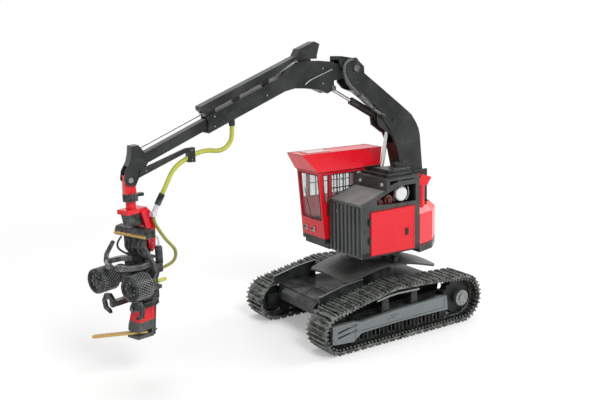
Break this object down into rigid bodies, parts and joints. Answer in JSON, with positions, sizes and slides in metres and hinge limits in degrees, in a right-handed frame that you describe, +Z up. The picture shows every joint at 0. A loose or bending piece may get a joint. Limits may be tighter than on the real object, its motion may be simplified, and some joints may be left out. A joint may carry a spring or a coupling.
{
  "type": "scale model feller buncher",
  "caption": "Die-cast scale model of a tracked feller buncher with side cab, knuckle boom, sliding stick and a hanging felling head that turns, tilts and grips.",
  "frame": {"origin": "floor point under the middle of the overall box at rest; the track centre is 40.5 mm behind it", "axes": "+X forward, towards the cab front and the felling head; +Y to the machine's left; +Z up from the floor"},
  "size_m": [0.181, 0.069, 0.1337],
  "materials": {
    "frame_black": "satin black paint",
    "track_black": "satin die-cast track",
    "panel_grey": "satin grey paint",
    "plain_metal": "bare cast metal",
    "skirt_grey": "satin grey paint",
    "hood_green": "satin grey-green paint",
    "engine_red": "dark red paint",
    "lamp_white": "clear-white lens",
    "body_red": "gloss red paint",
    "trim_black": "black plastic",
    "clear": "clear moulded glazing",
    "boom_black": "satin black paint",
    "hose_black": "soft black tube",
    "bright_metal": "polished",
    "hose_green": "soft yellow-green tube",
    "bar_gold": "gold paint"
  },
  "bodies": {
    "undercarriage": {"undercarriage_frame": "frame_black", "track_left": "track_black", "track_right": "track_black", "side_panels": "panel_grey", "track_wheels": "frame_black", "drive_hubs": "plain_metal", "track_slides": "plain_metal", "slew_skirt": "skirt_grey"},
    "superstructure": {"swing_deck": "frame_black", "engine_housing": "frame_black", "front_grille": "frame_black", "hood_panel": "hood_green", "engine_block": "engine_red", "air_disc": "lamp_white", "side_door": "body_red", "door_fittings": "trim_black", "deck_steps": "frame_black", "counterweight": "body_red", "cab_sill": "frame_black", "cab_shell": "body_red", "cab_glass": "clear", "window_bars": "trim_black", "cab_roof": "body_red", "cab_seat": "trim_black", "cab_lamps": "lamp_white", "exhaust_stack": "body_red"},
    "boom": {"main_boom": "boom_black", "boom_hose": "hose_black"},
    "stick": {"stick_beam": "boom_black", "ram_housing": "boom_black", "ram_barrel": "bright_metal"},
    "extension": {"extension_beam": "boom_black", "extension_rod": "bright_metal", "tip_pin": "bright_metal", "supply_hose": "hose_green"},
    "hanger": {"hanger_yoke": "body_red", "rotator_collar": "frame_black"},
    "head_carrier": {"head_bracket": "body_red", "carrier_fittings": "frame_black", "hose_fitting": "lamp_white", "head_hose": "hose_green"},
    "head": {"head_frame": "boom_black", "head_strip": "bar_gold", "saw_box": "body_red", "saw_guard": "plain_metal", "hose_stub": "trim_black"},
    "saw_bar": {"saw_bar": "bar_gold"},
    "feed_arm_left": {"feed_arm_left": "boom_black"},
    "feed_roller_left": {"feed_roller_left": "boom_black"},
    "knife_left": {"knife_left": "bright_metal"},
    "claw_left": {"claw_left": "boom_black"},
    "feed_arm_right": {"feed_arm_right": "boom_black"},
    "feed_roller_right": {"feed_roller_right": "boom_black"},
    "knife_right": {"knife_right": "bright_metal"},
    "claw_right": {"claw_right": "boom_black"},
    "lift_barrel": {"lift_barrel": "boom_black"},
    "lift_rod": {"lift_rod": "bright_metal"},
    "crowd_barrel": {"crowd_barrel": "boom_black"},
    "crowd_rod": {"crowd_rod": "bright_metal"}
  },
  "joints": [
    {"name": "swing", "type": "hinge", "parent": "undercarriage", "child": "superstructure", "pos_m": [-0.0505, 0, 0.0376], "axis": [0, 0, 1], "continuous": true},
    {"name": "boom_lift", "type": "hinge", "parent": "superstructure", "child": "boom", "pos_m": [-0.067, 0.0075, 0.07], "axis": [0, -1, 0], "range_deg": [-20, 8]},
    {"name": "stick_fold", "type": "hinge", "parent": "boom", "child": "stick", "pos_m": [-0.0338, 0.0075, 0.1216], "axis": [0, 1, 0], "range_deg": [-8, 25], "deforming": ["boom_hose"]},
    {"name": "extension_slide", "type": "slide", "parent": "stick", "child": "extension", "axis": [0.9225, 0, -0.3859], "range_m": [-0.016, 0.006], "deforming": ["supply_hose"]},
    {"name": "hanger_swing", "type": "hinge", "parent": "extension", "child": "hanger", "pos_m": [0.0724, 0.0075, 0.083], "axis": [0, -1, 0], "range_deg": [-25, 25], "deforming": ["supply_hose"]},
    {"name": "head_turn", "type": "hinge", "parent": "hanger", "child": "head_carrier", "pos_m": [0.0721, 0.0075, 0.0745], "axis": [0, 0, 1], "continuous": true, "deforming": ["supply_hose"]},
    {"name": "head_tilt", "type": "hinge", "parent": "head_carrier", "child": "head", "pos_m": [0.0663, 0.00531, 0.0556], "axis": [-0.3535, 0.9354, 0], "range_deg": [0, 40], "deforming": ["head_hose"]},
    {"name": "feed_arm_left_swing", "type": "hinge", "parent": "head", "child": "feed_arm_left", "pos_m": [0.06666, 0.01229, 0.0434], "axis": [0, 0, 1], "range_deg": [-12, 8]},
    {"name": "feed_arm_right_swing", "type": "hinge", "parent": "head", "child": "feed_arm_right", "pos_m": [0.07118, 0.00031, 0.0434], "axis": [0, 0, -1], "range_deg": [-12, 8]},
    {"name": "feed_roller_left_spin", "type": "hinge", "parent": "feed_arm_left", "child": "feed_roller_left", "pos_m": [0.06857, 0.01685, 0.0434], "axis": [0.9354, 0.3535, 0], "continuous": true},
    {"name": "feed_roller_right_spin", "type": "hinge", "parent": "feed_arm_right", "child": "feed_roller_right", "pos_m": [0.07563, -0.00185, 0.0434], "axis": [0.9354, 0.3535, 0], "continuous": true},
    {"name": "knife_left_swing", "type": "hinge", "parent": "head", "child": "knife_left", "pos_m": [0.06746, 0.0113, 0.0504], "axis": [0, 0, 1], "range_deg": [-4, 22]},
    {"name": "knife_right_swing", "type": "hinge", "parent": "head", "child": "knife_right", "pos_m": [0.07113, 0.00158, 0.0504], "axis": [0, 0, -1], "range_deg": [-4, 22]},
    {"name": "claw_left_swing", "type": "hinge", "parent": "head", "child": "claw_left", "pos_m": [0.07653, 0.01559, 0.0337], "axis": [-0.9354, -0.3535, 0], "range_deg": [-15, 25]},
    {"name": "claw_right_swing", "type": "hinge", "parent": "head", "child": "claw_right", "pos_m": [0.08077, 0.00436, 0.0337], "axis": [0.9354, 0.3535, 0], "range_deg": [-15, 25]},
    {"name": "saw_bar_swing", "type": "hinge", "parent": "head", "child": "saw_bar", "pos_m": [0.07086, 0.00853, 0.021], "axis": [0, 0, 1], "range_deg": [-35, 45]},
    {"name": "lift_barrel_swing", "type": "hinge", "parent": "superstructure", "child": "lift_barrel", "pos_m": [-0.0461, 0.0075, 0.048], "axis": [0, -1, 0], "range_deg": [-9.96, 3.98]},
    {"name": "lift_rod_slide", "type": "slide", "parent": "lift_barrel", "child": "lift_rod", "axis": [-0.1915, 0, 0.9815], "range_m": [-0.00632, 0.00253]},
    {"name": "crowd_barrel_swing", "type": "hinge", "parent": "boom", "child": "crowd_barrel", "pos_m": [-0.0509, 0.0075, 0.0976], "axis": [0, -1, 0], "range_deg": [-3.72, 1.19]},
    {"name": "crowd_rod_slide", "type": "slide", "parent": "crowd_barrel", "child": "crowd_rod", "axis": [0.8767, 0, 0.481], "range_m": [-0.006, 0.00192]}
  ],
  "couplings": [
    {"joint": "lift_barrel_swing", "follows": "boom_lift", "ratio": 0.4884},
    {"joint": "lift_rod_slide", "follows": "boom_lift", "m_per_rad": 0.01776},
    {"joint": "crowd_barrel_swing", "follows": "stick_fold", "ratio": -0.14585},
    {"joint": "crowd_rod_slide", "follows": "stick_fold", "m_per_rad": -0.013477},
    {"joint": "feed_arm_right_swing", "follows": "feed_arm_left_swing", "ratio": 1},
    {"joint": "knife_right_swing", "follows": "knife_left_swing", "ratio": 1},
    {"joint": "claw_right_swing", "follows": "claw_left_swing", "ratio": 1}
  ]
}
